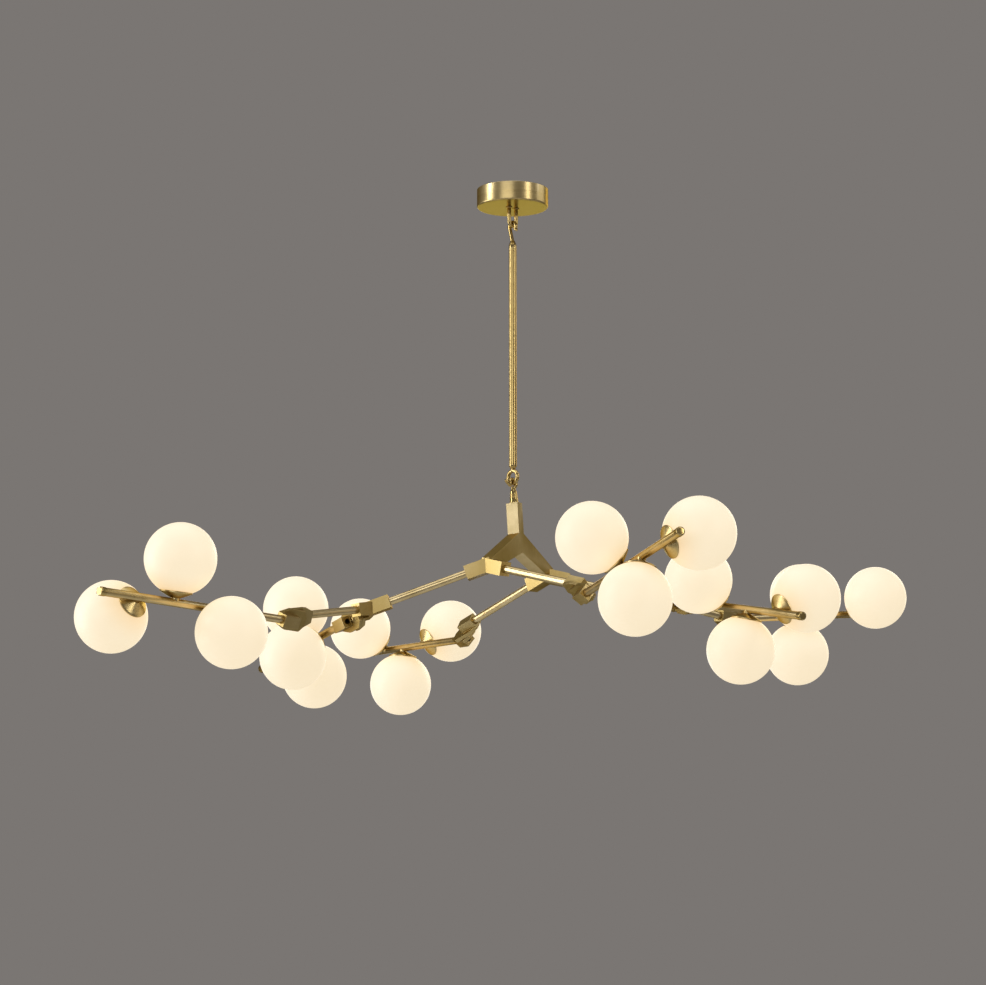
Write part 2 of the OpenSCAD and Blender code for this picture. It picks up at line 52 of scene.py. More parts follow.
# Camera, lamps and world
view = {
    "place": (-0.036, -4.747, -1.2707),
    "pitch": 8.474,                          # degrees up from the level
    "sensor": 36, "focalPixels": 2650, "pictureWidth": 986,
    "farthest": 60,
}
cameraData = bpy.data.cameras.new("camera")
cameraData.lens = view["focalPixels"] / view["pictureWidth"] * view["sensor"]
cameraData.sensor_width = view["sensor"]
cameraData.clip_end = view["farthest"]
camera = bpy.data.objects.new("camera", cameraData)
camera.location = view["place"]
camera.rotation_euler = (math.radians(90 + view["pitch"]), 0, 0)
bpy.context.scene.collection.objects.link(camera)
bpy.context.scene.camera = camera
bpy.context.scene.view_settings.view_transform = "Standard"

studio = {
    "backdrop": (0.195, 0.181, 0.171),       # the plain grey that the camera and the metal see
    "ambient": (1.0, 0.985, 0.96), "ambientStrength": 0.30,
}


# A soft lamp at a place, turned to face its aim: width and height in metres, power in watts
def setLamp(name, place, aim, size, power, colour):
    lampData = bpy.data.lights.new(name, "AREA")
    lampData.shape = "RECTANGLE"
    lampData.size, lampData.size_y = size
    lampData.energy = power
    lampData.color = colour
    lamp = bpy.data.objects.new(name, lampData)
    lamp.location = place
    lamp.rotation_euler = (Vector(aim) - Vector(place)).to_track_quat("-Z", "Y").to_euler()
    bpy.context.scene.collection.objects.link(lamp)


warmWhite = (1.0, 0.98, 0.94)
softWhite = (1.0, 0.99, 0.97)
setLamp("softboxLeft", (-3.65, -0.1, -0.9), (0, 0, -0.75), (1.9, 2.2), 55, softWhite)
setLamp("upperLeft", (-3.5, -0.7, 1.0), (0, 0, -0.1), (0.9, 1.1), 27, softWhite)
setLamp("upperRight", (3.3, 0.7, 0.95), (0, 0, -0.1), (2.2, 1.0), 8, warmWhite)
setLamp("stripRight", (2.6, -2.2, 0.3), (0, 0, -0.3), (0.5, 2.0), 17, (1.0, 0.96, 0.9))
setLamp("softboxBack", (2.0, 3.0, 0.1), (0, 0, -0.6), (0.9, 1.8), 16, (1.0, 0.94, 0.84))
setLamp("topLight", (-0.2, -0.4, 1.9), (0, 0, -0.75), (3.4, 2.6), 34, warmWhite)
setLamp("frontFill", (-1.8, -5.5, 0.3), (0, 0, -0.75), (3.8, 2.4), 54, warmWhite)
setLamp("backStrip", (0.4, 3.2, 0.2), (0, 0, -0.75), (2.6, 0.7), 18, (1.0, 0.97, 0.93))
setLamp("lowBack", (-0.3, 3.4, -0.95), (0, 0, -0.1), (3.2, 0.8), 17, (0.68, 0.83, 1.0))

# Camera, glossy and glass rays see the plain backdrop, and all other rays get a weak even light
world = bpy.data.worlds.new("studio")
bpy.context.scene.world = world
world.use_nodes = True
worldNodes, worldLinks = world.node_tree.nodes, world.node_tree.links
worldNodes.clear()
worldOut = worldNodes.new("ShaderNodeOutputWorld")
seen = worldNodes.new("ShaderNodeBackground")
seen.inputs["Color"].default_value = (*studio["backdrop"], 1)
lit = worldNodes.new("ShaderNodeBackground")
lit.inputs["Color"].default_value = (*studio["ambient"], 1)
lit.inputs["Strength"].default_value = studio["ambientStrength"]
whoLooks = worldNodes.new("ShaderNodeLightPath")
pick = worldNodes.new("ShaderNodeMixShader")
mirrored = worldNodes.new("ShaderNodeMath")
mirrored.operation = "MAXIMUM"
worldLinks.new(whoLooks.outputs["Is Glossy Ray"], mirrored.inputs[0])
worldLinks.new(whoLooks.outputs["Is Transmission Ray"], mirrored.inputs[1])
plainGrey = worldNodes.new("ShaderNodeMath")
plainGrey.operation = "MAXIMUM"
worldLinks.new(whoLooks.outputs["Is Camera Ray"], plainGrey.inputs[0])
worldLinks.new(mirrored.outputs[0], plainGrey.inputs[1])
worldLinks.new(plainGrey.outputs[0], pick.inputs["Fac"])
worldLinks.new(lit.outputs["Background"], pick.inputs[1])
worldLinks.new(seen.outputs["Background"], pick.inputs[2])
worldLinks.new(pick.outputs["Shader"], worldOut.inputs["Surface"])
print("camera and lights set")


# Shared effects, as node groups
def newGroup(name, inputs, outputs):
    group = bpy.data.node_groups.new(name, "ShaderNodeTree")
    for label, kind, value in inputs:
        socket = group.interface.new_socket(label, in_out="INPUT", socket_type=kind)
        socket.default_value = value
    for label, kind in outputs:
        group.interface.new_socket(label, in_out="OUTPUT", socket_type=kind)
    return group, group.nodes.new("NodeGroupInput"), group.nodes.new("NodeGroupOutput")


def addMath(tree, operation, a, b=None, clamp=False):
    node = tree.nodes.new("ShaderNodeMath")
    node.operation = operation
    node.use_clamp = clamp
    for slot, value in enumerate((a, b)):
        if value is None:
            continue
        if isinstance(value, (int, float)):
            node.inputs[slot].default_value = value
        else:
            tree.links.new(value, node.inputs[slot])
    return node.outputs[0]


def mixColour(tree, factor, a, b):
    node = tree.nodes.new("ShaderNodeMix")
    node.data_type = "RGBA"
    for name, value in (("Factor_Float", factor), ("A_Color", a), ("B_Color", b)):
        socket = next(s for s in node.inputs if s.identifier == name)
        if hasattr(value, "node"):
            tree.links.new(value, socket)
        elif isinstance(value, (int, float)):
            socket.default_value = value
        else:
            socket.default_value = (*value, 1) if len(value) == 3 else value
    return next(s for s in node.outputs if s.identifier == "Result_Color")


brushingLook = {
    "detail": 3, "roughness": 0.65, "coarseDetail": 2, "coarseScale": 0.22,
    "fineShare": 0.65, "coarseShare": 0.35, "contrast": 2.6,
}


# Fine brushing: thin scratches drawn out along the third axis of the given vector
def makeBrushing():
    look = brushingLook
    group, source, result = newGroup(
        "brushing",
        [("Vector", "NodeSocketVector", (0, 0, 0)), ("Density", "NodeSocketFloat", 900.0),
         ("Stretch", "NodeSocketFloat", 0.03)],
        [("Height", "NodeSocketFloat"), ("Mask", "NodeSocketFloat")])
    squeeze = group.nodes.new("ShaderNodeCombineXYZ")
    squeeze.inputs[0].default_value = 1
    squeeze.inputs[1].default_value = 1
    group.links.new(source.outputs["Stretch"], squeeze.inputs[2])
    scaled = group.nodes.new("ShaderNodeVectorMath")
    scaled.operation = "MULTIPLY"
    group.links.new(source.outputs["Vector"], scaled.inputs[0])
    group.links.new(squeeze.outputs[0], scaled.inputs[1])
    fine = group.nodes.new("ShaderNodeTexNoise")
    fine.inputs["Detail"].default_value = look["detail"]
    fine.inputs["Roughness"].default_value = look["roughness"]
    group.links.new(scaled.outputs[0], fine.inputs["Vector"])
    group.links.new(source.outputs["Density"], fine.inputs["Scale"])
    coarse = group.nodes.new("ShaderNodeTexNoise")
    coarse.inputs["Detail"].default_value = look["coarseDetail"]
    group.links.new(scaled.outputs[0], coarse.inputs["Vector"])
    coarseScale = addMath(group, "MULTIPLY", source.outputs["Density"], look["coarseScale"])
    group.links.new(coarseScale, coarse.inputs["Scale"])
    blended = addMath(group, "ADD",
                      addMath(group, "MULTIPLY", fine.outputs["Fac"], look["fineShare"]),
                      addMath(group, "MULTIPLY", coarse.outputs["Fac"], look["coarseShare"]))
    group.links.new(blended, result.inputs["Height"])
    centred = addMath(group, "SUBTRACT", blended, 0.5)
    mask = addMath(group, "MULTIPLY_ADD", centred, look["contrast"], True)   # adds its own 0.5 back
    group.links.new(mask, result.inputs["Mask"])
    return group


patinaLook = {"detail": 5, "roughness": 0.6, "spotScale": 14.0, "spotCore": 0.03, "spotEdge": 0.12}


# Handling marks: soft cloudy patches where lacquer is thinner or fingers have been, and fine specks
def makePatina():
    look = patinaLook
    group, source, result = newGroup(
        "patina",
        [("Vector", "NodeSocketVector", (0, 0, 0)), ("Scale", "NodeSocketFloat", 30.0),
         ("Amount", "NodeSocketFloat", 1.0)],
        [("Cloud", "NodeSocketFloat"), ("Specks", "NodeSocketFloat")])
    cloud = group.nodes.new("ShaderNodeTexNoise")
    cloud.inputs["Detail"].default_value = look["detail"]
    cloud.inputs["Roughness"].default_value = look["roughness"]
    group.links.new(source.outputs["Vector"], cloud.inputs["Vector"])
    group.links.new(source.outputs["Scale"], cloud.inputs["Scale"])
    spots = group.nodes.new("ShaderNodeTexVoronoi")
    group.links.new(source.outputs["Vector"], spots.inputs["Vector"])
    spotScale = addMath(group, "MULTIPLY", source.outputs["Scale"], look["spotScale"])
    group.links.new(spotScale, spots.inputs["Scale"])
    dots = group.nodes.new("ShaderNodeMapRange")
    dots.inputs["From Min"].default_value = look["spotCore"]
    dots.inputs["From Max"].default_value = look["spotEdge"]
    dots.inputs["To Min"].default_value = 1
    dots.inputs["To Max"].default_value = 0
    group.links.new(spots.outputs["Distance"], dots.inputs["Value"])
    group.links.new(addMath(group, "MULTIPLY", cloud.outputs["Fac"], source.outputs["Amount"]),
                    result.inputs["Cloud"])
    group.links.new(addMath(group, "MULTIPLY", dots.outputs["Result"], source.outputs["Amount"]),
                    result.inputs["Specks"])
    return group


# Edge wear: bright where the surface turns over sharply, broken up by the patina
def makeEdgeWear():
    group, source, result = newGroup(
        "edgeWear",
        [("Pointiness", "NodeSocketFloat", 0.5), ("From", "NodeSocketFloat", 0.52),
         ("To", "NodeSocketFloat", 0.6), ("Break", "NodeSocketFloat", 0.5)],
        [("Mask", "NodeSocketFloat")])
    ramp = group.nodes.new("ShaderNodeMapRange")
    group.links.new(source.outputs["Pointiness"], ramp.inputs["Value"])
    group.links.new(source.outputs["From"], ramp.inputs["From Min"])
    group.links.new(source.outputs["To"], ramp.inputs["From Max"])
    broken = addMath(group, "MULTIPLY", ramp.outputs["Result"], source.outputs["Break"], True)
    group.links.new(broken, result.inputs["Mask"])
    return group


brushingGroup = makeBrushing()
patinaGroup = makePatina()
edgeWearGroup = makeEdgeWear()


def newMaterial(name):
    material = bpy.data.materials.new(name)
    material.use_nodes = True
    tree = material.node_tree
    tree.nodes.clear()
    output = tree.nodes.new("ShaderNodeOutputMaterial")
    shader = tree.nodes.new("ShaderNodeBsdfPrincipled")
    tree.links.new(shader.outputs["BSDF"], output.inputs["Surface"])
    return material, tree, shader


def addBump(tree, shader, height, strength, depth):
    bump = tree.nodes.new("ShaderNodeBump")
    bump.inputs["Strength"].default_value = strength
    bump.inputs["Distance"].default_value = depth
    tree.links.new(height, bump.inputs["Height"])
    tree.links.new(bump.outputs["Normal"], shader.inputs["Normal"])


def placeGroup(tree, group, links):
    node = tree.nodes.new("ShaderNodeGroup")
    node.node_tree = group
    for name, value in links.items():
        if hasattr(value, "node"):
            tree.links.new(value, node.inputs[name])
        else:
            node.inputs[name].default_value = value
    return node


brassLook = {
    "light": (0.62, 0.47, 0.20), "deep": (0.36, 0.25, 0.075), "worn": (0.88, 0.74, 0.46),
    "edge": (0.40, 0.28, 0.10), "speck": (0.20, 0.14, 0.06),
    "brushShare": 0.45, "cloudShare": 0.55, "speckShare": 0.12, "patinaScale": 26.0,
    "wearFrom": 0.53, "wearTo": 0.62,
    "rough": 0.24, "roughSpread": 0.10, "coat": 0.09, "coatRough": 0.25,
    "bump": 0.06, "bumpDepth": 0.0004, "density": 1100.0, "stretch": 0.03,
}


# Satin brass, brushed along each piece's own lay, which is kept in its attribute
def makeBrass(name, finish):
    look = {**brassLook, **finish}
    material, tree, shader = newMaterial(name)
    place = tree.nodes.new("ShaderNodeTexCoord").outputs["Object"]
    lay = tree.nodes.new("ShaderNodeAttribute")
    lay.attribute_name = "lay"
    brushing = placeGroup(tree, brushingGroup, {
        "Vector": lay.outputs["Vector"], "Density": look["density"], "Stretch": look["stretch"]})
    patina = placeGroup(tree, patinaGroup, {
        "Vector": place, "Scale": look["patinaScale"], "Amount": 1.0})
    geometry = tree.nodes.new("ShaderNodeNewGeometry")
    wear = placeGroup(tree, edgeWearGroup, {
        "Pointiness": geometry.outputs["Pointiness"], "From": look["wearFrom"],
        "To": look["wearTo"], "Break": patina.outputs["Cloud"]})
    tone = addMath(tree, "ADD",
                   addMath(tree, "MULTIPLY", brushing.outputs["Mask"], look["brushShare"]),
                   addMath(tree, "MULTIPLY", patina.outputs["Cloud"], look["cloudShare"]), True)
    base = mixColour(tree, tone, look["deep"], look["light"])
    base = mixColour(tree, wear.outputs["Mask"], base, look["worn"])
    specks = addMath(tree, "MULTIPLY", patina.outputs["Specks"], look["speckShare"])
    base = mixColour(tree, specks, base, look["speck"])
    tree.links.new(base, shader.inputs["Base Color"])
    spread = addMath(tree, "MULTIPLY", tone, look["roughSpread"])
    rough = addMath(tree, "ADD", spread, look["rough"])
    tree.links.new(rough, shader.inputs["Roughness"])
    shader.inputs["Metallic"].default_value = 1
    shader.inputs["Specular Tint"].default_value = (*look["edge"], 1)
    shader.inputs["Coat Weight"].default_value = look["coat"]
    shader.inputs["Coat Roughness"].default_value = look["coatRough"]
    addBump(tree, shader, brushing.outputs["Height"], look["bump"], look["bumpDepth"])
    return material


opalLook = {
    # The second glass colour and the second glow colour are painted shade, used towards the mouth
    "glass": (0.36, 0.36, 0.38), "shadedGlass": (0.34, 0.30, 0.24),
    "glow": (1.0, 0.84, 0.55), "shadedGlow": (1.0, 0.70, 0.36), "glowStrength": 0.77,
    "patinaScale": 9.0, "cloudSpread": 0.25, "etching": 900, "etchingDetail": 2,
    "rough": 0.42, "roughSpread": 0.10, "specular": 0.35, "bump": 0.04, "bumpDepth": 0.0002,
}


# Lit opal glass: an even warm glow with a faint etched bloom, and painted shade that makes the glow
# and the glass a shade deeper and warmer near the mouth
def makeOpal():
    look = opalLook
    material, tree, shader = newMaterial("opalGlass")
    place = tree.nodes.new("ShaderNodeTexCoord").outputs["Object"]
    patina = placeGroup(tree, patinaGroup, {
        "Vector": place, "Scale": look["patinaScale"], "Amount": 1.0})
    etched = tree.nodes.new("ShaderNodeTexNoise")
    etched.inputs["Scale"].default_value = look["etching"]
    etched.inputs["Detail"].default_value = look["etchingDetail"]
    tree.links.new(place, etched.inputs["Vector"])
    mouthShade = tree.nodes.new("ShaderNodeAttribute")
    mouthShade.attribute_name = "mouthShade"
    centred = addMath(tree, "SUBTRACT", patina.outputs["Cloud"], 0.5)
    cloud = addMath(tree, "MULTIPLY", centred, look["cloudSpread"])
    # Painted shade: this weight darkens and warms the glow and the glass towards the mouth, broken
    # by a little random cloud
    depth = addMath(tree, "ADD", mouthShade.outputs["Fac"], cloud, True)
    glow = mixColour(tree, depth, look["glow"], look["shadedGlow"])
    tree.links.new(glow, shader.inputs["Emission Color"])
    shader.inputs["Emission Strength"].default_value = look["glowStrength"]
    glass = mixColour(tree, depth, look["glass"], look["shadedGlass"])
    tree.links.new(glass, shader.inputs["Base Color"])
    spread = addMath(tree, "MULTIPLY", etched.outputs["Fac"], look["roughSpread"])
    rough = addMath(tree, "ADD", spread, look["rough"])
    tree.links.new(rough, shader.inputs["Roughness"])
    shader.inputs["Specular IOR Level"].default_value = look["specular"]
    addBump(tree, shader, etched.outputs["Fac"], look["bump"], look["bumpDepth"])
    return material


plainLook = {
    "patinaScale": 60.0, "grainDetail": 4, "speckShare": 0.15, "speckShade": 0.5,
    "roughSpread": 0.16, "bumpDepth": 0.0003, "metallic": 0.0,
}


# Matt plastic, zinc plate and unglazed ceramic share one recipe: mottled colour over a fine skin
def makePlain(name, finish):
    look = {**plainLook, **finish}
    material, tree, shader = newMaterial(name)
    place = tree.nodes.new("ShaderNodeTexCoord").outputs["Object"]
    patina = placeGroup(tree, patinaGroup, {
        "Vector": place, "Scale": look["patinaScale"], "Amount": 1.0})
    skin = tree.nodes.new("ShaderNodeTexNoise")
    skin.inputs["Scale"].default_value = look["grain"]
    skin.inputs["Detail"].default_value = look["grainDetail"]
    tree.links.new(place, skin.inputs["Vector"])
    base = mixColour(tree, patina.outputs["Cloud"], look["deep"], look["light"])
    specks = addMath(tree, "MULTIPLY", patina.outputs["Specks"], look["speckShare"])
    base = mixColour(tree, specks, base, tuple(c * look["speckShade"] for c in look["deep"]))
    tree.links.new(base, shader.inputs["Base Color"])
    spread = addMath(tree, "MULTIPLY", skin.outputs["Fac"], look["roughSpread"])
    rough = addMath(tree, "ADD", spread, look["rough"])
    tree.links.new(rough, shader.inputs["Roughness"])
    shader.inputs["Metallic"].default_value = look["metallic"]
    addBump(tree, shader, skin.outputs["Fac"], look["bump"], look["bumpDepth"])
    return material


brassRod = makeBrass("brassRod", {"bump": 0.03})
brassCast = makeBrass("brassCast", {
    "rough": 0.35, "density": 700.0, "bump": 0.08,
    "light": (0.52, 0.40, 0.165), "deep": (0.33, 0.23, 0.07)})
brassSpun = makeBrass("brassSpun", {
    "density": 1500.0, "bump": 0.05, "light": (0.64, 0.51, 0.26), "deep": (0.42, 0.31, 0.12)})
brassWire = makeBrass("brassWire", {"rough": 0.14, "density": 900.0, "bump": 0.03})
opal = makeOpal()
zinc = makePlain("zincPlate", {
    "light": (0.66, 0.67, 0.68), "deep": (0.50, 0.51, 0.53),
    "rough": 0.32, "metallic": 1.0, "grain": 500.0, "bump": 0.12})
plastic = makePlain("whitePlastic", {
    "light": (0.86, 0.86, 0.84), "deep": (0.80, 0.80, 0.78),
    "rough": 0.42, "grain": 900.0, "bump": 0.08})
ceramic = makePlain("ceramicHolder", {
    "light": (0.90, 0.89, 0.85), "deep": (0.84, 0.83, 0.79),
    "rough": 0.5, "grain": 700.0, "bump": 0.10})
print("materials made")


machining = {"merge": 0.00001, "flat": 0.6, "sharp": 32, "bevelSteps": 2, "profileMerge": 0.00002}


# Tools for modelling
def clearSelection():
    if bpy.context.object and bpy.context.object.mode != "OBJECT":
        bpy.ops.object.mode_set(mode="OBJECT")
    bpy.ops.object.select_all(action="DESELECT")


def takeUp(piece):
    clearSelection()
    piece.select_set(True)
    bpy.context.view_layer.objects.active = piece


def applyModifiers(piece):
    takeUp(piece)
    for modifier in list(piece.modifiers):
        bpy.ops.object.modifier_apply(modifier=modifier.name)


def roundEdges(piece, width):
    bevel = piece.modifiers.new("roundEdges", "BEVEL")
    bevel.width = width
    bevel.segments = machining["bevelSteps"]
    bevel.limit_method = "ANGLE"
    bevel.angle_limit = math.radians(machining["sharp"])
    bevel.use_clamp_overlap = True
    bevel.harden_normals = False
    applyModifiers(piece)


# A frame whose z axis is upward and whose x axis lies nearest to forward
def frameAt(origin, upward, forward=(0, 0, 1)):
    z = Vector(upward).normalized()
    x = Vector(forward) - z * Vector(forward).dot(z)
    if x.length < 1e-6:
        x = z.orthogonal()
    x.normalize()
    y = z.cross(x)
    turn = Matrix((x, y, z)).transposed().to_4x4()
    turn.translation = Vector(origin)
    return turn


# Stores the lay of the brushing: z runs along the grain, or rings it where the piece was turned
def layGrain(piece, origin, grain, turned=False):
    inverse = frameAt(origin, grain).inverted()
    lay = piece.data.attributes.new("lay", "FLOAT_VECTOR", "POINT")
    for vertex, entry in zip(piece.data.vertices, lay.data):
        p = inverse @ vertex.co
        entry.vector = (math.hypot(p.x, p.y), p.z, 0) if turned else p


def settle(piece):
    takeUp(piece)
    bpy.ops.object.transform_apply(location=True, rotation=True, scale=True)


# Name, smooth shading, material and body, the same way for every new piece
def finishPiece(piece, name, body, material, smoothAngle=machining["sharp"]):
    piece.name = name
    piece.data.name = name
    settle(piece)
    bpy.ops.object.shade_smooth_by_angle(angle=math.radians(smoothAngle))
    piece.data.materials.clear()
    piece.data.materials.append(material)
    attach(piece, body)
    return piece


# A machined copy of a CAD node: merged, its flat faces cleaned, its edges broken
def machineCopy(node, name, body, material, width, grain=None):
    takeUp(nodes[node])
    bpy.ops.object.duplicate()
    piece = bpy.context.object
    for key in list(piece.keys()):
        del piece[key]
    piece.parent = None
    bpy.ops.object.mode_set(mode="EDIT")
    bpy.ops.mesh.select_all(action="SELECT")
    bpy.ops.mesh.remove_doubles(threshold=machining["merge"])
    bpy.ops.mesh.dissolve_limited(angle_limit=math.radians(machining["flat"]))
    bpy.ops.mesh.quads_convert_to_tris(ngon_method="BEAUTY")
    bpy.ops.object.mode_set(mode="OBJECT")
    if width:
        roundEdges(piece, width)
    finishPiece(piece, name, body, material)
    flats = piece.modifiers.new("flatFaces", "WEIGHTED_NORMAL")
    flats.keep_sharp = True
    applyModifiers(piece)
    if grain:
        layGrain(piece, grain[0], grain[1])
    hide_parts(node)


# Turns a profile of (radius, height) pairs about the vertical
def turnProfile(profile, steps=64):
    clearSelection()
    bpy.ops.mesh.primitive_plane_add(size=0.001)
    piece = bpy.context.object
    bpy.ops.object.mode_set(mode="EDIT")
    bpy.ops.mesh.delete(type="VERT")
    bpy.ops.object.mode_set(mode="OBJECT")
    mesh = piece.data
    mesh.clear_geometry()
    edges = [(i, i + 1) for i in range(len(profile) - 1)]
    mesh.from_pydata([(r, 0, z) for r, z in profile], edges, [])
    bpy.ops.object.mode_set(mode="EDIT")
    bpy.ops.mesh.select_all(action="SELECT")
    bpy.ops.mesh.spin(steps=steps, angle=math.tau, center=(0, 0, 0), axis=(0, 0, 1))
    bpy.ops.mesh.select_all(action="SELECT")
    bpy.ops.mesh.remove_doubles(threshold=machining["profileMerge"])
    bpy.ops.mesh.normals_make_consistent(inside=False)
    bpy.ops.object.mode_set(mode="OBJECT")
    return piece


def copyTo(pattern, place):
    takeUp(pattern)
    bpy.ops.object.duplicate()
    piece = bpy.context.object
    piece.data = pattern.data.copy()
    piece.matrix_world = place
    return piece


globeFit = {"radius": 0.06, "skin": 0.0018, "nextReach": 0.0605, "pull": 2.0, "rounds": 12}


# Centre of a globe: a sphere laid through the outer skin of its mesh
def globeCentre(node):
    fit = globeFit
    low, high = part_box(node)
    guess = (low + high) / 2
    points = [v.co for v in nodes[node].data.vertices]
    reach = max((p - guess).length for p in points)
    for _ in range(fit["rounds"]):
        skin = [p for p in points if (p - guess).length > reach - fit["skin"]]
        pull = Vector((0, 0, 0))
        for p in skin:
            away = p - guess
            pull += away.normalized() * (away.length - fit["radius"])
        guess = guess + pull * (fit["pull"] / len(skin))
        reach = fit["nextReach"]
    return guess


tubeOffset = 0.013       # from a knuckle's pivot to its tube's axis


# Where a branch turns, runs and carries its globes, read from the CAD
def readBranch(name):
    joint = next(j for j in frame["joints"] if j["name"] == f"knuckle_{name}_turn")
    pivot = Vector(joint["pos_m"])
    axis = Vector(joint["axis"]).normalized()
    globes = [globeCentre(f"globe_{name}_{i}") for i in (1, 2, 3)]
    middle = (globes[0] + globes[1] + globes[2]) / 3
    low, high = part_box(f"knuckle_{name}")
    side = 1 if ((low + high) / 2 - pivot).dot(axis) > 0 else -1
    foot = pivot + axis * side * tubeOffset
    along = (middle - foot).normalized()
    stations, outward = [], []
    for centre in globes:
        reach = (centre - foot).dot(along)
        stations.append(foot + along * reach)
        outward.append((centre - stations[-1]).normalized())
    ends = [v.co for v in nodes[f"tube_{name}"].data.vertices]
    tip = foot + along * max((p - foot).dot(along) for p in ends)
    return {"pivot": pivot, "axis": axis * side, "foot": foot, "along": along, "globes": globes,
            "stations": stations, "outward": outward, "tip": tip}


branches = {name: readBranch(name) for name in branchNames}
print("branches read from the frame")


def arcPoints(centre, radius, start, end, count):
    points = []
    for i in range(count + 1):
        angle = math.radians(start + (end - start) * i / count)
        points.append((centre[0] + radius * math.cos(angle), centre[1] + radius * math.sin(angle)))
    return points


bending = {"step": 0.0004, "tipRows": 8, "roundness": 6}


# Bends a round wire along a path of (x, z) points; its corners are eased and its tips may narrow
def bendWire(path, radius, ease, tips=(1.0, 1.0)):
    fine = []
    for (x0, z0), (x1, z1) in zip(path, path[1:]):
        steps = max(1, int(math.hypot(x1 - x0, z1 - z0) / bending["step"]))
        fine += [(x0 + (x1 - x0) * i / steps, z0 + (z1 - z0) * i / steps) for i in range(steps)]
    fine.append(path[-1])
    reach = int(ease / bending["step"])
    eased = []
    for i in range(len(fine)):
        w = min(reach, i, len(fine) - 1 - i)
        part = fine[i - w:i + w + 1]
        eased.append((sum(p[0] for p in part) / len(part), sum(p[1] for p in part) / len(part)))
    eased = eased[::2] + ([] if len(eased) % 2 else [eased[-1]])
    clearSelection()
    bpy.ops.curve.primitive_nurbs_path_add(radius=0.01)
    wire = bpy.context.object
    wire.data.splines.clear()
    spline = wire.data.splines.new("POLY")
    spline.points.add(len(eased) - 1)
    for i, point in enumerate(eased):
        spline.points[i].co = (point[0], 0, point[1], 1)
        fromStart = i / bending["tipRows"]
        fromEnd = (len(eased) - 1 - i) / bending["tipRows"]
        spline.points[i].radius = min(1, tips[0] + (1 - tips[0]) * min(1, fromStart) ** 0.5,
                                      tips[1] + (1 - tips[1]) * min(1, fromEnd) ** 0.5)
    wire.data.dimensions = "3D"
    wire.data.bevel_depth = radius
    wire.data.bevel_resolution = bending["roundness"]
    wire.data.use_fill_caps = True
    bpy.ops.object.convert(target="MESH")
    return bpy.context.object


def joinPieces(parts):
    clearSelection()
    for part in parts:
        part.select_set(True)
    bpy.context.view_layer.objects.active = parts[0]
    bpy.ops.object.join()
    return bpy.context.object


def moveBy(piece, matrix):
    piece.data.transform(matrix)
    return piece


canopyShape = {
    "radius": 0.0655, "height": 0.034, "wall": 0.0015, "edge": 0.003, "lip": 0.0006,
    "outerRings": (0.8, 0.6, 0.4, 0.2), "innerRings": (0.3, 0.6, 0.9), "steps": 128,
}


# A spun can: closed and rounded below, open above, with its inner wall turned as a second shell
def makeCanopy():
    c = canopyShape
    r, h, w, e = c["radius"], c["height"], c["wall"], c["edge"]
    profile = [(r - w, 0), (r - w + c["lip"], 0), (r - c["lip"], 0), (r, -c["lip"]), (r, -h + e)]
    profile += arcPoints((r - e, -h + e), e, 0, -90, 10)[1:]
    profile += [(r * k, -h) for k in c["outerRings"]] + [(0, -h)]
    outside = turnProfile(profile, c["steps"])
    inner = [(0, -h + w)] + [(r * k, -h + w) for k in c["innerRings"]]
    inner += arcPoints((r - e, -h + e), e - w, -90, 0, 6) + [(r - w, 0)]
    inside = turnProfile(inner, c["steps"])
    takeUp(inside)
    bpy.ops.object.mode_set(mode="EDIT")
    bpy.ops.mesh.select_all(action="SELECT")
    bpy.ops.mesh.normals_make_consistent(inside=True)
    bpy.ops.object.mode_set(mode="OBJECT")
    piece = joinPieces([outside, inside])
    bpy.ops.object.mode_set(mode="EDIT")
    bpy.ops.mesh.select_all(action="SELECT")
    bpy.ops.mesh.remove_doubles(threshold=machining["profileMerge"])
    bpy.ops.object.mode_set(mode="OBJECT")
    finishPiece(piece, "canopyShell", "ceiling", brassSpun)
    layGrain(piece, (0, 0, 0), (0, 0, 1), turned=True)
    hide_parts("canopy")


makeCanopy()
print("canopy made")

hooks = {
    "wire": 0.0035,                          # half the wire's thickness
    "gap": 0.0003,                           # the play where two wires meet
    "turnUpper": 45, "turnLower": -45,       # the planes in which the wires are bent
    "lean": (-1.7, -3.2),                    # the hanging frame's lean about X and Y
}


def jointPlace(name):
    return Vector(next(j for j in frame["joints"] if j["name"] == name)["pos_m"])


upperPivot = jointPlace("rod_swing")
lowerPivot = jointPlace("frame_swing")
step = 2 * hooks["wire"] + hooks["gap"]
leanTurn = (Matrix.Rotation(math.radians(hooks["lean"][1]), 4, "Y")
            @ Matrix.Rotation(math.radians(hooks["lean"][0]), 4, "X"))
hanging = Matrix.Translation(lowerPivot) @ leanTurn @ Matrix.Translation(-lowerPivot)

# Radii with heights in metres, then radii with their share of the whole height
ferruleShape = {
    "foot": [(0, 0), (0.0067, 0), (0.007, 0.0003)],
    "taper": [(0.007, 0.46), (0.0067, 0.52), (0.0058, 0.7), (0.0048, 0.88), (0.004, 1), (0, 1)],
}


def turnFerrule(height):
    profile = ferruleShape["foot"] + [(r, height * share) for r, share in ferruleShape["taper"]]
    return turnProfile(profile, 48)


def turnAbout(degrees):
    return Matrix.Rotation(math.radians(degrees), 4, "Z")


ceilingLoopShape = {
    "radius": 0.009, "ease": 0.0012, "bracket": 0.0025, "canopyBottom": 0.034,
    "nutWiden": 0.0025, "nutHeight": 0.004, "nutDrop": 0.0021, "nutEdge": 0.0004,
    "collarDrop": 0.0001,
    # radius past the wire's, and height
    "collar": [(-0.0002, 0.0002), (0.0021, 0), (0.0025, -0.0003), (0.0025, -0.0011),
               (0.0021, -0.0015), (-0.0002, -0.0017)],
}


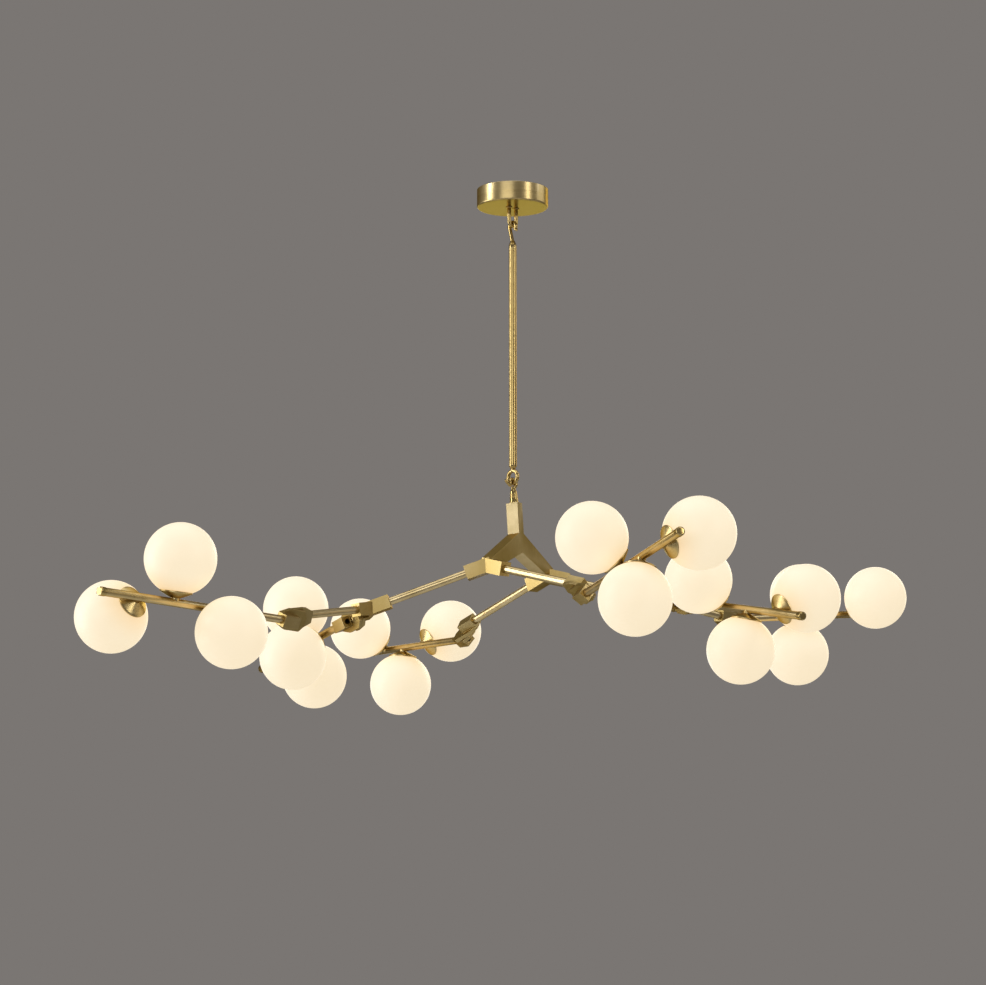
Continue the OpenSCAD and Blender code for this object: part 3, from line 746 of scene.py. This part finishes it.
# The bent loop with its two nuts under the bracket and a collar on each leg under the canopy
def makeCeilingLoop():
    c, w = ceilingLoopShape, hooks["wire"]
    r = c["radius"]
    low = upperPivot.z + r
    path = [(-r, 0), (-r, low)] + arcPoints((0, low), r, 180, 360, 48)[1:] + [(r, 0)]
    parts = [bendWire(path, w, c["ease"])]
    for side in (-1, 1):
        clearSelection()
        bpy.ops.mesh.primitive_cylinder_add(
            vertices=6, radius=w + c["nutWiden"], depth=c["nutHeight"],
            location=(side * r, 0, -c["bracket"] - c["nutDrop"]))
        nut = bpy.context.object
        roundEdges(nut, c["nutEdge"])
        settle(nut)
        parts.append(nut)
        collar = turnProfile([(w + wide, z) for wide, z in c["collar"]], 40)
        moveBy(collar, Matrix.Translation((side * r, 0, -c["canopyBottom"] - c["collarDrop"])))
        parts.append(collar)
    piece = joinPieces(parts)
    moveBy(piece, turnAbout(hooks["turnUpper"]))
    finishPiece(piece, "ceilingLoop", "ceiling", brassWire)
    layGrain(piece, (0, 0, 0), (0, 0, 1))
    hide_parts("canopy_loop")


rodHookShape = {
    "radius": 0.008, "topDrop": 0.043, "ferrule": 0.015, "ease": 0.0016, "tip": 0.55,
    "tail": (0.003, 0.001), "start": -35, "end": 215, "sunk": 0.003, "foot": 0.002,
}


# The open hook on the rod's upper end, with its short turned-out tail
def makeRodHook():
    h = rodHookShape
    r = h["radius"]
    centre = upperPivot.z + step - r
    top = upperPivot.z - h["topDrop"]
    path = [(r + h["tail"][0], centre - r - h["tail"][1])]
    path += arcPoints((0, centre), r, h["start"], h["end"], 64)
    path += [(0, top + h["ferrule"] - h["sunk"]), (0, top + h["foot"])]
    wire = bendWire(path, hooks["wire"], h["ease"], tips=(h["tip"], 1.0))
    ferrule = turnFerrule(h["ferrule"])
    moveBy(ferrule, Matrix.Translation((0, 0, top)))
    piece = joinPieces([wire, ferrule])
    moveBy(piece, turnAbout(hooks["turnLower"]))
    finishPiece(piece, "rodHook", "rod", brassWire)
    layGrain(piece, (0, 0, 0), (0, 0, 1))
    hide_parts("rod_hook")


rodEyeShape = {
    "radius": 0.0115, "endRise": 0.035, "ferrule": 0.009, "ease": 0.0012,
    "sunk": 0.004, "shoulder": 0.0016, "start": 90, "end": -262,
}


# The closed eye under the rod's lower end
def makeRodEye():
    e = rodEyeShape
    r = e["radius"]
    centre = lowerPivot.z + r
    bottom = lowerPivot.z + e["endRise"]
    path = [(0, bottom - e["sunk"]), (0, centre + r + e["shoulder"])]
    path += arcPoints((0, centre), r, e["start"], e["end"], 96)
    wire = bendWire(path, hooks["wire"], e["ease"])
    ferrule = turnFerrule(e["ferrule"])
    moveBy(ferrule, Matrix.Translation((0, 0, bottom)) @ Matrix.Rotation(math.pi, 4, "X"))
    piece = joinPieces([wire, ferrule])
    moveBy(piece, turnAbout(hooks["turnLower"]))
    finishPiece(piece, "rodEye", "rod", brassWire)
    layGrain(piece, (0, 0, 0), (0, 0, 1))
    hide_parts("rod_eye")


hubHookShape = {
    "radius": 0.0075, "tail": 0.016, "tailTurn": (0.8, 0.6), "stemDrop": 0.037,
    "start": -75, "end": 215, "ease": 0.0014, "tip": 0.5, "sunk": 0.004,
    "neck": [(0, 0.003), (0.0012, 0.0002)],                  # across, and below the hook's bend
    "foot": [(0, 0), (0.0077, 0), (0.008, 0.0004), (0.008, 0.0024), (0.0077, 0.003)],
    "taper": [(0.0071, 0.36), (0.0065, 0.58)],               # share of the stem's height
    "top": [(0.0058, -0.0072), (0.0048, -0.0052), (0.004, -0.002), (0.0037, 0.001), (0, 0.001)],
}


# The open hook that holds the hanging frame, on its turned stem in the hub
def makeHubHook():
    h = hubHookShape
    r = h["radius"]
    centre = lowerPivot.z + step - r
    low = centre - r
    foot = lowerPivot.z - h["stemDrop"]
    height = low - foot
    end = arcPoints((0, centre), r, h["end"], h["end"], 1)[0]
    path = [(0, foot + h["sunk"])] + [(x, low - drop) for x, drop in h["neck"]]
    path += arcPoints((0, centre), r, h["start"], h["end"], 72)
    path += [(end[0] - h["tailTurn"][0] * h["tail"], end[1] + h["tailTurn"][1] * h["tail"])]
    wire = bendWire(path, hooks["wire"], h["ease"], tips=(1.0, h["tip"]))
    profile = h["foot"] + [(x, height * share) for x, share in h["taper"]]
    stem = turnProfile(profile + [(x, height + rise) for x, rise in h["top"]], 48)
    moveBy(stem, Matrix.Translation((0, 0, foot)))
    piece = joinPieces([wire, stem])
    moveBy(piece, hanging @ turnAbout(hooks["turnUpper"]))
    finishPiece(piece, "hubHook", "frame", brassWire)
    layGrain(piece, lowerPivot, (0, 0, 1))
    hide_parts("hub_hook")


makeCeilingLoop()
makeRodHook()
makeRodEye()
makeHubHook()
print("hooks bent")


# The middle of a node and the direction in which it is longest
def nodeGrain(node):
    points = [v.co for v in nodes[node].data.vertices]
    centre = sum(points, Vector()) / len(points)
    far = max(points, key=lambda p: (p - centre).length)
    other = max(points, key=lambda p: (p - far).length)
    return centre, (far - other).normalized()


# Widths of the broken edges, and the grain of the pieces that are several solids in one node
castings = {
    "rodEdge": 0.0006, "hubEdge": 0.0011, "junctionEdge": 0.0009, "knuckleEdge": 0.0008,
    "bracketEdge": 0.0004, "terminalEdge": 0.0007,
    "linkGrain": (-0.72, -0.68, -0.13), "socketGrain": (0.3, 0.9, 0.2),
}
machineCopy("drop_rod", "dropRod", "rod", brassRod, castings["rodEdge"],
            grain=((0, 0, 0), (0, 0, 1)))
for node, name in (("arm_a", "sideArmLeft"), ("arm_d", "sideArmRight"),
                   ("arm_b", "centreArmFront"), ("arm_c", "centreArmBack")):
    machineCopy(node, name, "frame", brassRod, 0, grain=nodeGrain(node))
machineCopy("link_rods", "linkRods", "frame", brassRod, 0,
            grain=(lowerPivot, castings["linkGrain"]))
machineCopy("hub", "hubCasting", "frame", brassCast, castings["hubEdge"],
            grain=(lowerPivot, (0, 0, 1)))
for node, name in (("junction_a", "junctionLeft"), ("junction_d", "junctionRight")):
    machineCopy(node, name, "frame", brassCast, castings["junctionEdge"], grain=nodeGrain(node))
machineCopy("knuckle_sockets", "knuckleSockets", "frame", brassCast, castings["knuckleEdge"],
            grain=(lowerPivot, castings["socketGrain"]))
for name in branchNames:
    b = branches[name]
    machineCopy(f"knuckle_{name}", f"knuckleLeaf_{name}", f"branch_{name}", brassCast,
                castings["knuckleEdge"], grain=(b["foot"], b["along"]))
    machineCopy(f"tube_{name}", f"branchTube_{name}", f"branch_{name}", brassRod, 0,
                grain=(b["foot"], b["along"]))
machineCopy("ceiling_bracket", "ceilingBracket", "ceiling", zinc, castings["bracketEdge"])
machineCopy("terminal_block", "terminalBlock", "ceiling", plastic, castings["terminalEdge"])
print("castings and rods machined")


screwShape = {
    "seat": 0.0051, "shank": 0.003, "shankLength": 0.0104, "shankSides": 32, "headSteps": 30,
    "head": [(0, 0), (0.0045, 0), (0.0045, 0.0022), (0.0042, 0.0027), (0.0036, 0.003)],
    "socket": [(0.0021, 0.003), (0.0017, 0.0027), (0.0017, 0.0012), (0, 0.0008)],
}


# One pivot screw with a domed rim and a round socket, copied to both sides of each knuckle
def makePivotScrews():
    s = screwShape
    head = turnProfile(s["head"] + s["socket"], s["headSteps"])
    clearSelection()
    bpy.ops.mesh.primitive_cylinder_add(
        vertices=s["shankSides"], radius=s["shank"], depth=s["shankLength"],
        location=(0, 0, -s["shankLength"] / 2))
    shank = bpy.context.object
    bpy.ops.object.transform_apply(location=True)
    pattern = joinPieces([head, shank])
    parts = []
    for name in branchNames:
        for side in (-1, 1):
            up = branches[name]["axis"] * side
            parts.append(copyTo(pattern, frameAt(branches[name]["pivot"] + up * s["seat"], up)))
    bpy.data.objects.remove(pattern)
    for part in parts:
        settle(part)
    piece = joinPieces(parts)
    finishPiece(piece, "pivotScrews", "frame", brassWire)
    layGrain(piece, lowerPivot, (0, 0, 1))
    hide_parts("pivot_screws")


makePivotScrews()
print("pivot screws set")

tubeCapShape = {
    "radius": 0.0076, "bore": 0.0070, "length": 0.011, "dome": 0.0022, "lip": (0.0003, 0.0004),
    "domeAngles": (15, 30, 45, 60, 75, 90), "crown": [(0.4, 0.0002), (0, 0.0003)],
}


# A thin domed cap over the end of a branch tube
def makeTubeCap(name):
    b, c = branches[name], tubeCapShape
    r, length, dome = c["radius"], c["length"], c["dome"]
    inset, rise = c["lip"]
    profile = [(c["bore"], -length), (r - inset, -length), (r, -length + rise), (r, -dome)]
    for a in c["domeAngles"]:
        across, up = math.cos(math.radians(a)), math.sin(math.radians(a))
        profile.append((r - dome + dome * across, -dome + dome * up))
    profile += [(r * share, z) for share, z in c["crown"]]
    cap = turnProfile(profile, 48)
    moveBy(cap, frameAt(b["tip"], b["along"]))
    finishPiece(cap, f"tubeCap_{name}", f"branch_{name}", brassWire)
    layGrain(cap, b["tip"], b["along"], turned=True)


cupShape = {
    "offset": 0.0727, "globe": 0.060, "gap": 0.0003,         # tube's axis to globe's centre
    "rim": 0.0275, "rimWall": 0.0007, "rimTurn": (0.0003, 0.0004, 0.0018, 0.0022), "inner": 0.0195,
    "neck": 0.0075, "base": 0.00715, "sunk": 0.004, "straight": 0.0004, "flare": (0.0008, 0.0009),
    "backSteps": (0.15, 0.3, 0.5, 0.7, 0.85, 0.94), "backBow": 1.12,
    "seatSteps": 4, "floor": 0.01015, "floorRadius": 0.0112,
}


# A spun cup: a neck on the tube, a flared back and a rolled rim round the glass
def makeCups(name):
    b, c = branches[name], cupShape
    seat = c["globe"] + c["gap"]
    outerAngle = math.asin((c["rim"] - c["rimWall"]) / seat)
    innerAngle = math.asin(c["inner"] / seat)
    rimHeight = c["offset"] - seat * math.cos(outerAngle)
    neck, base, rim = c["neck"], c["base"], c["rim"]
    wide, high = c["flare"]
    inset, edge, under, backTop = c["rimTurn"]
    profile = [(0, base - c["sunk"]), (neck, base - c["sunk"]), (neck, base + c["straight"]),
               (neck + wide, base + high)]
    for k in c["backSteps"]:
        profile.append((neck + wide + (rim - neck - wide) * k,
                        base + high + (rimHeight - backTop - base - high) * k ** c["backBow"]))
    profile += [(rim, rimHeight - under), (rim, rimHeight - edge), (rim - inset, rimHeight)]
    for k in range(c["seatSteps"] + 1):
        angle = outerAngle + (innerAngle - outerAngle) * k / c["seatSteps"]
        profile.append((seat * math.sin(angle), c["offset"] - seat * math.cos(angle)))
    profile += [(c["floorRadius"], c["floor"]), (0, c["floor"])]
    pattern = turnProfile(profile, 64)
    parts = []
    for station, outward in zip(b["stations"], b["outward"]):
        part = copyTo(pattern, frameAt(station, outward, b["along"]))
        settle(part)
        layGrain(part, station, outward, turned=True)
        parts.append(part)
    bpy.data.objects.remove(pattern)
    piece = joinPieces(parts)
    finishPiece(piece, f"cupSet_{name}", f"branch_{name}", brassSpun)
    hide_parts(f"cups_{name}")


globeShape = {
    "radius": 0.060, "wall": 0.0025, "mouth": 0.021, "lip": 0.0004,
    "outerRings": 56, "innerRings": 28, "steps": 80, "smooth": 60,
    "shadeFrom": 0.35, "shadeOver": 0.6, "shadeLeast": 0.12,    # how the painted shade deepens the glow and the glass towards the mouth: where it starts, how far it runs, and its least share
}


# One opal globe with its ground mouth, blown once and copied
def makeGlobePattern():
    g = globeShape
    r, inner = g["radius"], g["radius"] - g["wall"]
    outerAngle = math.degrees(math.asin(g["mouth"] / r))
    innerAngle = math.degrees(math.asin(g["mouth"] / inner))
    inside = [(inner * math.sin(math.radians(a)), -inner * math.cos(math.radians(a)))
              for a in [180 + (innerAngle - 180) * k / g["innerRings"]
                        for k in range(g["innerRings"] + 1)]]
    outside = [(r * math.sin(math.radians(a)), -r * math.cos(math.radians(a)))
               for a in [outerAngle + (180 - outerAngle) * k / g["outerRings"]
                         for k in range(g["outerRings"] + 1)]]
    inside[0], outside[-1] = (0, inner), (0, r)
    mouthHeight = -(r + inner) / 2 * math.cos(math.radians(outerAngle))
    pattern = turnProfile(inside + [(g["mouth"] + g["lip"], mouthHeight)] + outside, g["steps"])
    # Weight of the painted shade that deepens the glow and the glass towards the mouth
    near = pattern.data.attributes.new("mouthShade", "FLOAT", "POINT")
    for vertex, entry in zip(pattern.data.vertices, near.data):
        low = max(0.0, min(1.0, (-vertex.co.z / r - g["shadeFrom"]) / g["shadeOver"]))
        entry.value = g["shadeLeast"] + (1 - g["shadeLeast"]) * low * low
    return pattern


def blowGlobes(name, pattern):
    b = branches[name]
    for i, (centre, outward) in enumerate(zip(b["globes"], b["outward"])):
        piece = copyTo(pattern, frameAt(centre, outward, b["along"]))
        finishPiece(piece, f"opalGlobe_{name}_{i + 1}", f"branch_{name}", opal,
                    globeShape["smooth"])
        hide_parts(f"globe_{name}_{i + 1}")


globePattern = makeGlobePattern()
for name in branchNames:
    makeTubeCap(name)
    makeCups(name)
    blowGlobes(name, globePattern)
    lampNode = nodes[f"lamps_{name}"]        # the lamps stay as the CAD has them, inside the globes
    lampNode.data.materials.clear()
    lampNode.data.materials.append(ceramic)
bpy.data.objects.remove(globePattern)
print("tubes, cups and globes made")

floorShape = {
    "half": 3.2, "height": -3.0, "colour": (0.66, 0.65, 0.63), "cloudShade": 0.97,
    "cloudScale": 3.0, "rough": 0.85,
}


# The pale studio floor, far below the hanging object
def layFloor():
    f = floorShape
    clearSelection()
    bpy.ops.mesh.primitive_plane_add(size=2 * f["half"], location=(0, 0, f["height"]))
    floor = bpy.context.object
    floor.name = "studioFloor"
    paint, tree, shader = newMaterial("floorPaint")
    place = tree.nodes.new("ShaderNodeTexCoord").outputs["Object"]
    patina = placeGroup(tree, patinaGroup, {
        "Vector": place, "Scale": f["cloudScale"], "Amount": 1.0})
    shade = tuple(c * f["cloudShade"] for c in f["colour"])
    tree.links.new(mixColour(tree, patina.outputs["Cloud"], shade, f["colour"]),
                   shader.inputs["Base Color"])
    shader.inputs["Roughness"].default_value = f["rough"]
    floor.data.materials.append(paint)


layFloor()
print("floor laid")
